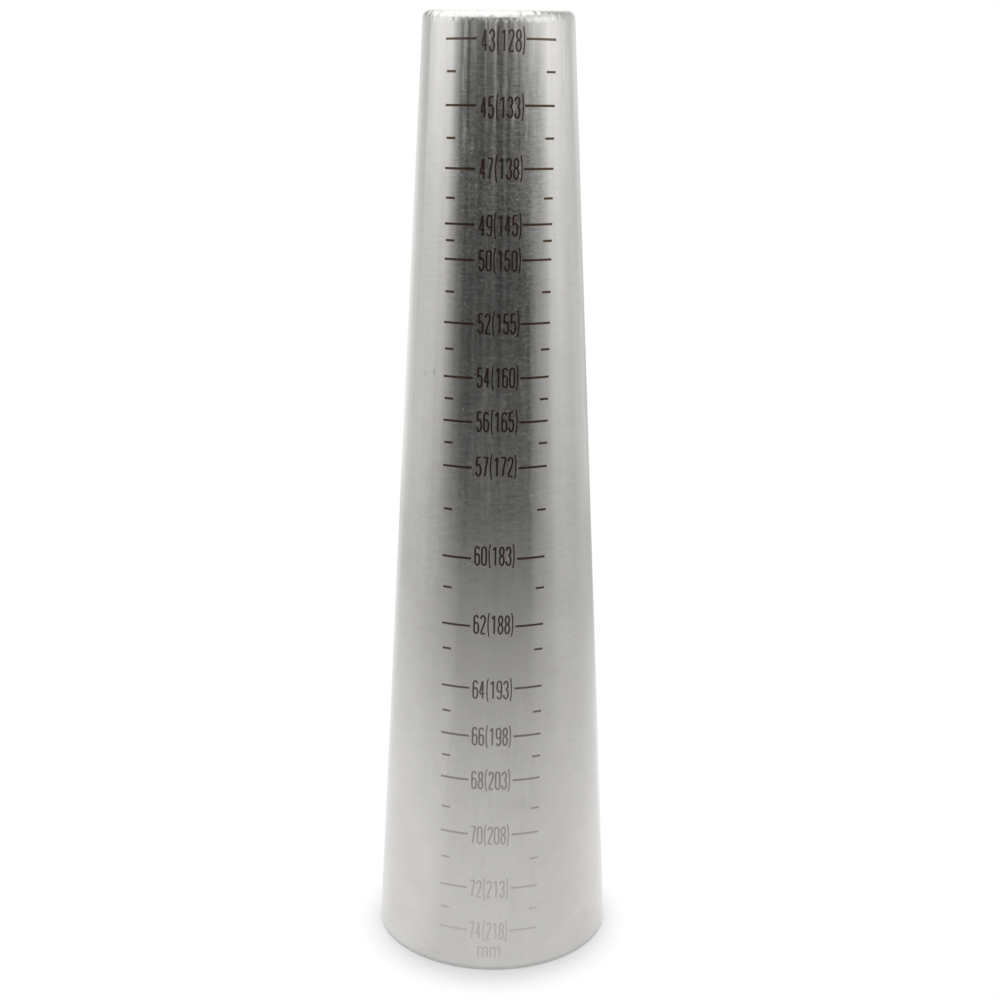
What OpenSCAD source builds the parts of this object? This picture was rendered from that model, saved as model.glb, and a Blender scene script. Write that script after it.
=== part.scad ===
// Oval bracelet mandrel: a tapered oval tube rolled from one sheet of stainless steel, welded up the
// back, closed by a plate at the top and ground smooth. It stands on its open foot, and bracelets are
// shaped and measured round its outside. All lengths are in millimetres, and +Z is up. The long axis
// of the oval lies along X, and the seam is at the back, on the +Y side.

/* [Overall size] */
// Height from the foot to the top face
height = 290; // [220:1:380]
// Width of the foot across the long axis of the oval
foot_w = 74.8; // [66:0.2:90]
// Width of the top across the long axis of the oval, measured to the unrounded corner
top_w = 43; // [38:0.2:56]

/* [Oval section] */
// How much less the oval measures across its short axis than across its long axis
oval_diff = 6; // [3:0.5:8]
// Distance from the middle of the oval to the centre of each end arc
end_centre = 6; // [5:0.25:9]

/* [Sheet] */
// Thickness of the rolled sheet, measured level
wall = 3; // [2.6:0.1:4]
// Chamfer that breaks both edges of the sheet at the foot
foot_chamfer = 0.5; // [0.2:0.1:1]

/* [Top plate and rim] */
// Thickness of the top plate
plate_t = 4; // [3:0.25:6]
// How far the plate's edge rests on the end of the sheet
plate_seat = 0.5; // [0.3:0.1:1]
// Radius ground on the rim round the top
rim_r = 2.2; // [1:0.1:2.4]

/* [Seam weld] */
// Gap between the edges of the sheet at the inside of the seam
root_gap = 1.2; // [0.8:0.1:2]
// Angle between the bevelled edges of the sheet
bevel_angle = 60; // [40:5:75]
// How far the weld's root bead stands into the hollow
bead_h = 0.6; // [0.3:0.1:1]
// Width of the weld's root bead
bead_w = 4; // [3:0.2:6]

/* [Hidden] */
$fn = 128;

// How far cutting shapes run past what they cut
overcut = 2;

// Lean of the outside, as half-width lost for each unit of height, and as an angle
lean = (foot_w - top_w) / 2 / height;
lean_angle = atan(lean);

// The oval is made of four arcs. The end arcs are centred on the long axis, and each broad arc is
// centred on the short axis, beyond the middle, so that it runs into the end arcs without a corner.
half_diff = oval_diff / 2;
broad_centre = half_diff * (2 * end_centre - half_diff) / (2 * (end_centre - half_diff));
// The end arcs meet the broad arcs on a line through the end arc's centre, in this direction. The
// point is far out along that line, well outside the mandrel.
join_angle = atan2(broad_centre, end_centre);
join_reach = 3 * foot_w;
join_far = [end_centre, 0] + join_reach * [cos(join_angle), sin(join_angle)];
// What is added to a half-width to give the radius of each kind of arc
end_shift = -end_centre;
broad_shift = broad_centre - half_diff;

// Level at which the plate rests on the end of the sheet
seat_z = height - plate_t;
// Half-width of the plate
plate_half_w = half_width(seat_z) - wall + plate_seat;

// The rim's radius is limited by the weld that it is ground on, which keeps a narrow land beside the
// radius. A radius in a corner reaches along its sides by the radius over the half corner's tangent.
rim_land = 0.1;
half_corner = (90 + lean_angle) / 2;
rim_room = min(half_width(height) - plate_half_w, plate_t) - rim_land;
rim = min(rim_r, rim_room * tan(half_corner));

// Radius of the root bead, from its width and height
bead_r = (pow(bead_w / 2, 2) + pow(bead_h, 2)) / (2 * bead_h);

steel = "#b9bbbd";
plate_steel = "#c3c5c7";
weld_steel = "#a9abae";

// Half the outside width across the long axis at level z
function half_width(z) = foot_w / 2 - lean * z;

// The share of the plan that belongs to the end arc on the +X side
module end_wedge() {
    polygon([[end_centre, 0], join_far, [join_far.x, -join_far.y]]);
}

// The share of the plan that belongs to the broad arc on the +Y side
module broad_wedge() {
    polygon([[-end_centre, 0], [end_centre, 0], join_far, [0, 2 * join_reach], [-join_far.x, join_far.y]]);
}

// Carries a section round the oval. The section is drawn at the end of the long axis, with the
// half-width across and the level up. Every straight line in it sweeps part of a true cone or plane,
// and every arc part of a true torus.
module oval_sweep() {
    for (turn = [0, 180])
        rotate(turn) {
            intersection() {
                translate([end_centre, 0, 0])
                    rotate_extrude()
                        translate([end_shift, 0])
                            children();
                translate([0, 0, -overcut])
                    linear_extrude(height + 2 * overcut)
                        end_wedge();
            }
            intersection() {
                translate([0, -broad_centre, 0])
                    rotate_extrude()
                        translate([broad_shift, 0])
                            children();
                translate([0, 0, -overcut])
                    linear_extrude(height + 2 * overcut)
                        broad_wedge();
            }
        }
}

// Flat oval of four arcs, with half the given width across its long axis
module oval(half_w) {
    for (turn = [0, 180])
        rotate(turn) {
            intersection() {
                translate([end_centre, 0])
                    circle(half_w + end_shift);
                end_wedge();
            }
            intersection() {
                translate([0, -broad_centre])
                    circle(half_w + broad_shift);
                broad_wedge();
            }
        }
}

// Section of the sheet from the foot to the plate's seat, with its edges broken at the foot. It can be
// made thicker on the inside, for the weld that runs into its own root bead.
module sheet_section(thicker = 0) {
    outside = half_width(0);
    inside = outside - wall;
    polygon([
        [inside + foot_chamfer, 0],
        [outside - foot_chamfer, 0],
        [half_width(foot_chamfer), foot_chamfer],
        [half_width(seat_z), seat_z],
        [half_width(seat_z) - wall - thicker, seat_z],
        [half_width(foot_chamfer) - wall - thicker, foot_chamfer],
    ]);
}

// Section of the hollow next to the sheet, deep enough for the root bead
module bead_room_section() {
    foot_inside = half_width(foot_chamfer) - wall;
    seat_inside = half_width(seat_z) - wall;
    depth = bead_h + overcut;
    polygon([
        [foot_inside - depth, foot_chamfer],
        [foot_inside, foot_chamfer],
        [seat_inside, seat_z],
        [seat_inside - depth, seat_z],
    ]);
}

// Section of the weld that fills the corner between plate and sheet, with its rim ground round
module rim_section() {
    centre = [half_width(height - rim) - rim / cos(lean_angle), height - rim];
    on_top = centre + [0, rim];
    on_side = centre + rim * [cos(lean_angle), sin(lean_angle)];
    corner = [half_width(height), height];
    polygon([
        [plate_half_w, seat_z],
        [half_width(seat_z), seat_z],
        on_side,
        centre,
        on_top,
        [plate_half_w, height],
    ]);
    intersection() {
        translate(centre)
            circle(rim);
        polygon([centre, 2 * on_side - centre, 2 * corner - centre, 2 * on_top - centre]);
    }
}

// Stands a flat shape up the inside of the back of the sheet, from below the foot to above the seat.
// In the shape, x runs along the oval and y runs out through the sheet.
module up_the_seam() {
    translate([0, half_width(0) - half_diff - wall, 0])
        rotate([lean_angle, 0, 0])
            translate([0, 0, -overcut])
                linear_extrude(height + 2 * overcut)
                    children();
}

// The bevelled gap between the two edges of the rolled sheet
module seam_gap() {
    // Depth of the gap square to the sheet, with room on the outside
    depth = wall * cos(lean_angle) + overcut;
    root = root_gap / 2;
    mouth = root + depth * tan(bevel_angle / 2);
    up_the_seam()
        polygon([[-root, -overcut], [root, -overcut], [root, 0], [mouth, depth], [-mouth, depth], [-root, 0]]);
}

// The tapered oval tube, open at the foot, with the bevelled gap of its seam up the back
module mandrel_shell() {
    color(steel)
        difference() {
            oval_sweep() sheet_section();
            seam_gap();
        }
}

// The weld up the back: it fills the gap flush with the outside, and its root bead laps the inside
module seam_weld() {
    color(weld_steel) {
        intersection() {
            oval_sweep() sheet_section(thicker = bead_h / 2);
            seam_gap();
        }
        intersection() {
            oval_sweep() bead_room_section();
            up_the_seam()
                translate([0, bead_r - bead_h])
                    circle(bead_r);
        }
    }
}

// The oval plate that closes the top, resting on the end of the sheet
module top_cap() {
    color(plate_steel)
        translate([0, 0, seat_z])
            linear_extrude(plate_t)
                oval(plate_half_w);
}

// The weld round the plate's edge, ground flush with the top and the outside
module cap_weld() {
    color(weld_steel)
        oval_sweep() rim_section();
}

mandrel_shell();
seam_weld();
top_cap();
cap_weld();
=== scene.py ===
"""Looks of an oval bracelet mandrel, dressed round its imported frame.

Lengths in the classes are millimetres, as on a maker's drawing, and the meshes are in metres. +Z is up, the
long axis of the oval lies along X, the scale faces -Y, and the seam is at the back, on the +Y side.
"""
import logging
import math
from dataclasses import dataclass
from enum import Enum
from typing import Any

import bpy
import numpy as np
from mathutils import Matrix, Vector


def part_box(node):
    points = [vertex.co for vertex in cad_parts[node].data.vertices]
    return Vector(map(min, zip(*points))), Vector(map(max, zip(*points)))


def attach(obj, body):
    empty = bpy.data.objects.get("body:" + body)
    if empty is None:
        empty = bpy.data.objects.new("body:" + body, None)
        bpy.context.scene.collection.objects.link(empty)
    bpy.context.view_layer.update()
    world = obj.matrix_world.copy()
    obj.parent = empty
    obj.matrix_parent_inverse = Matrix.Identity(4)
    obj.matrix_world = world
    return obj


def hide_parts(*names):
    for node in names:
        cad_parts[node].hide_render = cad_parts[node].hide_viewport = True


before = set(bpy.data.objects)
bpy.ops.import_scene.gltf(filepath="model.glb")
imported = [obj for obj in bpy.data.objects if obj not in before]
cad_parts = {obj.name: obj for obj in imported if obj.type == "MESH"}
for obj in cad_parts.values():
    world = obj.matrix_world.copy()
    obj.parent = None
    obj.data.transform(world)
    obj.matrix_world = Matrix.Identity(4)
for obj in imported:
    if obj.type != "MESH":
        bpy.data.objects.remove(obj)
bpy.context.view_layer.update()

MM = 0.001
BODY = "root"
BACK = math.pi / 2
FRONT = -math.pi / 2

Array = np.ndarray
Colour = tuple[float, float, float]
Faces = list[list[int]]
Step = tuple[float, float, float]
Stroke = tuple[Array, float]
Wave = tuple[int, float, float]

log = logging.getLogger("mandrel")


class Value:
    """A node's output, so that shader maths reads as an expression."""

    def __init__(self, graph: "Graph", socket: bpy.types.NodeSocket) -> None:
        """Keeps the graph that new nodes go to, and the output that this value stands for."""
        self.graph = graph
        self.socket = socket

    def _math(self, operation: str, first: "Value | float", second: "Value | float" = 0.0) -> "Value":
        """Adds one Math node and returns its result."""
        return self.graph.node("Math", {"operation": operation}, {0: first, 1: second})

    def __add__(self, other: "Value | float") -> "Value":
        """Returns the sum."""
        return self._math("ADD", self, other)

    def __radd__(self, other: float) -> "Value":
        """Returns the sum with a number on the left."""
        return self._math("ADD", other, self)

    def __sub__(self, other: "Value | float") -> "Value":
        """Returns the difference."""
        return self._math("SUBTRACT", self, other)

    def __rsub__(self, other: float) -> "Value":
        """Returns the difference from a number on the left."""
        return self._math("SUBTRACT", other, self)

    def __mul__(self, other: "Value | float") -> "Value":
        """Returns the product."""
        return self._math("MULTIPLY", self, other)

    def __rmul__(self, other: float) -> "Value":
        """Returns the product with a number on the left."""
        return self._math("MULTIPLY", other, self)

    def __truediv__(self, other: "Value | float") -> "Value":
        """Returns the quotient."""
        return self._math("DIVIDE", self, other)

    def __neg__(self) -> "Value":
        """Returns the value with its sign changed."""
        return self._math("MULTIPLY", self, -1.0)

    def __abs__(self) -> "Value":
        """Returns the value without its sign."""
        return self._math("ABSOLUTE", self)

    def angle_from(self, other: "Value") -> "Value":
        """Returns the angle whose tangent is this value over the other, for all four quarters."""
        return self._math("ARCTAN2", self, other)

    def root(self) -> "Value":
        """Returns the square root."""
        return self._math("SQRT", self)

    def at_most(self, limit: float) -> "Value":
        """Returns the smaller of the value and a limit."""
        return self._math("MINIMUM", self, limit)

    def rise(self, start: float, end: float) -> "Value":
        """Returns a smooth step from 0 at the start to 1 at the end, which may be the lower one."""
        ends = {"From Min": start, "From Max": end, "To Min": 0.0, "To Max": 1.0}
        return self.graph.node("MapRange", {"interpolation_type": "SMOOTHSTEP"}, {"Value": self, **ends})

    def hump(self, centre: float, half_width: float) -> "Value":
        """Returns a bell of height 1 at the centre, exp(-((value - centre) / half_width) squared)."""
        away = (self - centre) / half_width
        return self._math("EXPONENT", -(away * away))

    def climb(self, *steps: Step) -> "Value":
        """Returns a sum of smooth steps, each given by its height, its start and its end."""
        first, *others = [height * self.rise(start, end) for height, start, end in steps]
        return sum(others, first)


@dataclass(frozen=True)
class Noise:
    """A pattern of noise: how often it repeats per metre along X, Y and Z, its detail and its seed."""

    per_metre: tuple[float, float, float]
    detail: float
    seed: float


class Graph:
    """The nodes of one material or world."""

    def __init__(self, tree: bpy.types.NodeTree) -> None:
        """Starts from an empty tree."""
        tree.nodes.clear()
        self.tree = tree

    def node(self, kind: str, settings: dict[str, Any] | None = None, inputs: dict[Any, Any] | None = None,
             out: str | int | None = 0) -> "Value | None":
        """Adds a node of any kind.

        Args:
            kind: Name of the node's type, without its leading ShaderNode.
            settings: Properties of the node, which are set before its inputs.
            inputs: Numbers, colours or other values for its inputs, by name or place.
            out: Name or place of the output that is wanted, or None for a closing node.

        Returns:
            The wanted output, if any.
        """
        made = self.tree.nodes.new("ShaderNode" + kind)
        for key, setting in (settings or {}).items():
            setattr(made, key, setting)
        for key, given in (inputs or {}).items():
            if isinstance(given, Value):
                self.tree.links.new(given.socket, made.inputs[key])
            else:
                made.inputs[key].default_value = given
        return None if out is None else Value(self, made.outputs[out])

    def mix(self, factor: "Value | float", low: "Value | Colour", high: "Value | Colour") -> Value:
        """Returns a colour that goes from low to high as the factor goes from 0 to 1."""
        low, high = ((*c, 1.0) if isinstance(c, tuple) else c for c in (low, high))
        return self.node("Mix", {"data_type": "RGBA"}, {0: factor, 6: low, 7: high}, out=2)

    def scale(self, colour: Value, factor: Value) -> Value:
        """Returns a colour multiplied by a number."""
        return self.node("VectorMath", {"operation": "SCALE"}, {0: colour, "Scale": factor})

    def place(self) -> Value:
        """Returns the point's place on the object, in metres."""
        return self.node("TexCoord", out="Object")

    def axes(self) -> tuple[Value, Value, Value]:
        """Returns X, Y and Z of the point's place."""
        place = self.place()
        return tuple(self.node("SeparateXYZ", None, {0: place}, out=axis) for axis in "XYZ")

    def noise(self, pattern: Noise) -> Value:
        """Returns noise between 0 and 1 in a pattern."""
        stretched = self.node("Mapping", None, {"Vector": self.place(), "Scale": pattern.per_metre})
        inputs = {"Vector": stretched, "W": pattern.seed, "Scale": 1.0, "Detail": pattern.detail,
                  "Roughness": 0.6}
        return self.node("TexNoise", {"noise_dimensions": "4D"}, inputs)

    def bump(self, height: Value, depth: float) -> Value:
        """Returns a normal that leans as a height between 0 and 1 rises by a depth in metres."""
        return self.node("Bump", None, {"Height": height, "Distance": depth, "Strength": 1.0})

    def attribute(self, name: str) -> Value:
        """Returns a number that the mesh carries at each point."""
        return self.node("Attribute", {"attribute_name": name}, out="Fac")

    def ray(self, kind: str) -> Value:
        """Returns 1 for rays of a kind, and 0 for others."""
        return self.node("LightPath", out=f"Is {kind} Ray")

    def surface(self, shader: Value) -> None:
        """Ends a material with a shader."""
        self.node("OutputMaterial", None, {"Surface": shader}, out=None)

    def metal(self, colour: Value, roughness: Value, normal: Value, stretch: float = 0.0,
              turn: float = 0.0) -> None:
        """Ends a material with bare metal.

        Args:
            colour: Its colour.
            roughness: Its roughness.
            normal: The way that its surface faces.
            stretch: How far highlights are drawn out.
            turn: Direction in which they are drawn out, as a share of a whole turn.
        """
        self.surface(self.node("BsdfPrincipled", None, {
            "Base Color": colour,
            "Metallic": 1.0,
            "Roughness": roughness,
            "Anisotropic": stretch,
            "Anisotropic Rotation": turn,
            "Normal": normal,
        }))


def new_material(name: str) -> tuple[bpy.types.Material, Graph]:
    """Returns a new material and its empty graph."""
    material = bpy.data.materials.new(name)
    material.use_nodes = True
    return material, Graph(material.node_tree)


class Grain(Enum):
    """Direction in which a surface was brushed: lines per metre along X, Y and Z."""

    ROUND = (320.0, 320.0, 2200.0)
    UPRIGHT = (2300.0, 2300.0, 45.0)
    LENGTHWISE = (38.0, 2400.0, 2400.0)

    @property
    def streak_turn(self) -> float:
        """Turn of the stretched highlight, which lies across the grain, as a share of a whole turn."""
        return 0.25 if self is Grain.ROUND else 0.0

    @property
    def lines(self) -> Noise:
        """Pattern of the brushing itself."""
        return Noise(self.value, 4.0, 0.0)

    @property
    def streaks(self) -> Noise:
        """Pattern of broad streaks, about three times as wide as the lines."""
        return Noise(tuple(0.35 * count for count in self.value), 4.0, 3.0)


class Inside(Enum):
    """What is left on the points of a piece that are marked as inside."""

    NOTHING = "no such points"
    MILL = "the finish that the mill rolled"
    ROOT = "the heat tint of a weld's root"


@dataclass(frozen=True)
class Nick:
    """A small mark left on the front by handling.

    Attributes:
        x: Where it is across the front.
        z: Its height above the foot.
        half_width: Half its size across.
        half_height: Half its size up.
        strength: How strongly it shows, up to 1.
    """

    x: float
    z: float
    half_width: float
    half_height: float
    strength: float

    def mask(self, graph: Graph) -> Value:
        """Returns 1 on the nick and 0 away from it, on the front only."""
        x, y, z = graph.axes()
        across = x.hump(self.x * MM, self.half_width * MM)
        return across * z.hump(self.z * MM, self.half_height * MM) * y.rise(0.0, -0.005)


@dataclass(frozen=True)
class BrushedSteel:
    """Bare stainless steel with a one-way grain.

    Attributes:
        name: Name of the material.
        grain: Direction of the brushing.
        bright: Colour of clean steel.
        dull: Colour in the grain and in smudges.
        roughness: Mean roughness.
        stretch: How far highlights are drawn out across the grain.
        depth: Depth of the grain, in millimetres.
        strokes: How much rougher the upright strokes are that the grinding of the rim left, or 0 for none.
        inside: What is left on the points that are marked as inside.
        weld_line: Half-width of the faint line that a ground weld leaves up the back, or 0 for none.
        nicks: Small marks from handling.
        painted_foot_shade: Height below which painted shade darkens the foot, for the dark gap at the floor,
            or 0 for none.
        hatch_from: Height above which the grinding belt left an upright hatch, or 0 for none. The hatch dies
            out towards the ends of the oval.
    """

    name: str
    grain: Grain
    bright: Colour = (0.693, 0.685, 0.656)
    dull: Colour = (0.533, 0.525, 0.503)
    roughness: float = 0.18
    stretch: float = 0.9
    depth: float = 0.002
    strokes: float = 0.0
    inside: Inside = Inside.NOTHING
    weld_line: float = 0.0
    nicks: tuple[Nick, ...] = ()
    painted_foot_shade: float = 0.0
    hatch_from: float = 0.0

    NICK_COLOUR = (0.30, 0.295, 0.29)
    # Bluish grey of the painted shade along the foot, standing in for the dark gap where it meets the floor
    FOOT_SHADE_COLOUR = (0.22, 0.235, 0.27)
    WELD_COLOUR = (0.40, 0.392, 0.378)
    INSIDE_COLOURS = {Inside.MILL: ((0.29, 0.285, 0.275), (0.36, 0.355, 0.345)),
                      Inside.ROOT: ((0.50, 0.40, 0.25), (0.25, 0.27, 0.34))}
    INSIDE_ROUGHNESS = 0.44
    SMUDGES = Noise((34.0, 34.0, 22.0), 3.0, 7.0)
    BLOTCHES = Noise((110.0, 110.0, 90.0), 3.0, 15.0)
    SPECKLE = Noise((1100.0, 1100.0, 1300.0), 3.0, 9.0)
    STROKE_LINES = Noise((600.0, 600.0, 50.0), 3.0, 5.0)
    RAGGED = Noise((300.0, 300.0, 330.0), 3.0, 17.0)
    HATCH = Noise(Grain.UPRIGHT.value, 4.0, 13.0)
    MOTTLE = Noise((260.0, 260.0, 260.0), 5.0, 11.0)
    # Shares of the grain, the streaks, the smudges and the blotches in the colour, and of the first three in
    # the roughness
    TONE_SHARES = (0.5, 0.3, 0.5, 0.5)
    ROUGH_SHARES = (0.10, 0.06, 0.08)
    # Heights in metres between which the speckle and the strokes under the rim get stronger
    SPECKLE_GROWS = (0.14, 0.24)
    NEAR_RIM = (0.235, 0.292)
    # Distances in metres from the long axis between which the hatch comes in
    HATCH_ENDS = (0.003, 0.011)
    HATCH_BLEND = 0.3
    WELD_WANDER = 1.6

    def material(self) -> bpy.types.Material:
        """Makes the material.

        Fine grain and broad streaks are noise stretched along the brushing, and smudges and blotches are
        broad noise. All four tint the steel, all but the blotches change its roughness, and the grain and the
        streaks lean its surface.

        Returns:
            The finished material.
        """
        made, graph = new_material(self.name)
        x, y, z = graph.axes()
        patterns = (self.grain.lines, self.grain.streaks, self.SMUDGES, self.BLOTCHES)
        grain, streaks, smudges, blotches = (graph.noise(pattern) - 0.5 for pattern in patterns)
        speckle = graph.noise(self.SPECKLE)
        swings = (grain, streaks, smudges, blotches)
        tone = sum((share * swing for share, swing in zip(self.TONE_SHARES, swings)), 0.5)
        colour = graph.mix(tone, self.dull, self.bright)
        roughness = sum((share * swing for share, swing in zip(self.ROUGH_SHARES, swings)), self.roughness)
        speckled = 0.14 + 0.12 * z.rise(*self.SPECKLE_GROWS)
        roughness = roughness + speckled * (speckle - 0.5) + 0.07 * speckle.rise(0.66, 0.78)
        height = 0.6 * grain + 0.4 * streaks + 0.5
        if self.strokes:
            upright = graph.noise(self.STROKE_LINES).rise(0.48, 0.72)
            near_rim = z.rise(*self.NEAR_RIM)
            roughness = roughness * (1.0 - 0.4 * near_rim) + 0.3 * near_rim * grain
            roughness = roughness + self.strokes * upright * (0.15 + 0.85 * near_rim)
        if self.weld_line:
            ragged = graph.noise(self.RAGGED)
            edge = abs(x) + self.WELD_WANDER * MM * (ragged - 0.5)
            weld = edge.rise(self.weld_line * MM, 0.3 * self.weld_line * MM)
            colour = graph.mix((0.15 + 0.6 * ragged) * weld, colour, self.WELD_COLOUR)
            roughness = roughness + 0.06 * weld
        for nick in self.nicks:
            mask = nick.strength * nick.mask(graph)
            colour = graph.mix(mask, colour, self.NICK_COLOUR)
            roughness = roughness + 0.3 * mask
        # Painted shade: darker and bluer towards the foot, standing in for the dark gap where the sheet meets
        # the floor
        if self.painted_foot_shade:
            edge = z.rise(self.painted_foot_shade * MM, 0.5 * self.painted_foot_shade * MM)
            colour = graph.mix(0.22 * edge, colour, self.FOOT_SHADE_COLOUR)
            roughness = roughness + 0.1 * edge
        if self.hatch_from:
            hatch = graph.noise(self.HATCH)
            start, end = self.hatch_from - self.HATCH_BLEND, self.hatch_from + self.HATCH_BLEND
            on_rim = z.rise(start * MM, end * MM) * abs(y).rise(*self.HATCH_ENDS)
            roughness = roughness + on_rim * (0.06 + 0.25 * (hatch - 0.5))
            height = height + 4.0 * on_rim * hatch
        if self.inside is not Inside.NOTHING:
            inside = graph.attribute("inside")
            mottle = graph.noise(self.MOTTLE)
            inner = graph.mix(mottle.rise(0.3, 0.7), *self.INSIDE_COLOURS[self.inside])
            colour = graph.mix(inside, colour, inner)
            roughness = roughness + inside * (self.INSIDE_ROUGHNESS - roughness)
            height = height + inside * (mottle - height)
        normal = graph.bump(height, self.depth * MM)
        graph.metal(colour, roughness, normal, self.stretch, self.grain.streak_turn)
        return made


@dataclass(frozen=True)
class BurntMark:
    """Dark oxide burnt into the steel, worn pale towards the foot and a little under the rim.

    Attributes:
        name: Name of the material.
        dark: Colour of a full mark.
        pale: Colour of a mark that is nearly worn away.
        worn_below: Height at which the wear has gone furthest.
        whole_above: Height from which the marks are whole.
    """

    name: str
    dark: Colour = (0.100, 0.061, 0.040)
    pale: Colour = (0.545, 0.520, 0.495)
    worn_below: float = 8.0
    whole_above: float = 132.0

    SPECKS = Noise((1500.0, 1500.0, 2600.0), 3.0, 0.0)
    UNDER_RIM = (0.262, 0.290)
    RELIEF = 0.003

    def material(self) -> bpy.types.Material:
        """Makes the material, with specks where the burn missed the grain.

        Returns:
            The finished material.
        """
        made, graph = new_material(self.name)
        _, _, z = graph.axes()
        kept = z.rise(self.worn_below * MM, self.whole_above * MM) - 0.13 * z.rise(*self.UNDER_RIM)
        specks = graph.noise(self.SPECKS)
        colour = graph.mix(kept - 0.10 * specks.rise(0.5, 0.75), self.pale, self.dark)
        graph.metal(colour, 0.28 + 0.16 * specks, graph.bump(specks, self.RELIEF * MM))
        return made


def grid_quads(rows: int, columns: int, round_rows: bool, round_columns: bool) -> Array:
    """Corner numbers of the quads of a grid whose points are stored row by row.

    Args:
        rows: Number of rows.
        columns: Number of points in a row.
        round_rows: Whether the last row joins the first.
        round_columns: Whether each row's last point joins its first.

    Returns:
        One row of four point numbers for each quad, which faces along (row step) x (column step).
    """
    row = np.arange(rows if round_rows else rows - 1)[:, None]
    column = np.arange(columns if round_columns else columns - 1)[None, :]
    next_row = (row + 1) % rows
    next_column = (column + 1) % columns
    corners = [row * columns + column, next_row * columns + column,
               next_row * columns + next_column, row * columns + next_column]
    return np.stack(corners, axis=-1).reshape(-1, 4)


def tube_faces(rows: int, columns: int) -> Faces:
    """Faces of a closed tube: quads between rows that are closed loops, and a cap on the first and last row.

    Args:
        rows: Number of loops.
        columns: Number of points in a loop.

    Returns:
        Point numbers of each face.
    """
    loop = np.arange(columns)
    caps = [loop.tolist(), (loop[::-1] + (rows - 1) * columns).tolist()]
    return grid_quads(rows, columns, False, True).tolist() + caps


def waves_round(facing: Array, waves: tuple[Wave, ...]) -> Array:
    """Returns the sum of size x sin(count x facing + start) over waves of a count, a size and a start."""
    return sum(size * np.sin(count * facing + start) for count, size, start in waves)


def add_object(name: str, data: bpy.types.ID) -> bpy.types.Object:
    """Puts a new object at the origin of the scene, and returns it."""
    made = bpy.data.objects.new(name, data)
    bpy.context.scene.collection.objects.link(made)
    return made


def mesh_piece(name: str, points: Array, faces: Faces, marks: dict[str, Array] | None = None,
               crease: float = 32.0) -> bpy.types.Object:
    """Makes a shaded mesh object at the origin.

    Args:
        name: Name of the piece.
        points: Its points, in millimetres.
        faces: Point numbers of each face.
        marks: Numbers that the mesh carries at each point, by name.
        crease: Angle between faces, in degrees, from which an edge stays sharp.

    Returns:
        The object.
    """
    mesh = bpy.data.meshes.new(name)
    mesh.from_pydata((points * MM).tolist(), [], faces)
    for key, numbers in (marks or {}).items():
        layer = mesh.attributes.new(key, "FLOAT", "POINT")
        layer.data.foreach_set("value", np.ascontiguousarray(numbers, dtype=np.float32))
    mesh.shade_smooth()
    mesh.set_sharp_from_angle(angle=math.radians(crease))
    return add_object(name, mesh)


def fit(piece: bpy.types.Object, material: bpy.types.Material, slot: str, *nodes: str) -> None:
    """Dresses a piece, hangs it on what it rides on, and hides the frame's nodes that it stands for.

    Args:
        piece: The piece.
        material: Its finish.
        slot: Not used.
        nodes: The frame's nodes that it stands for.
    """
    piece.data.materials.append(material)
    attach(piece, BODY)
    if nodes:
        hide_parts(*nodes)
    log.info("%s: %d faces", piece.name, len(piece.data.polygons))


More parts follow.
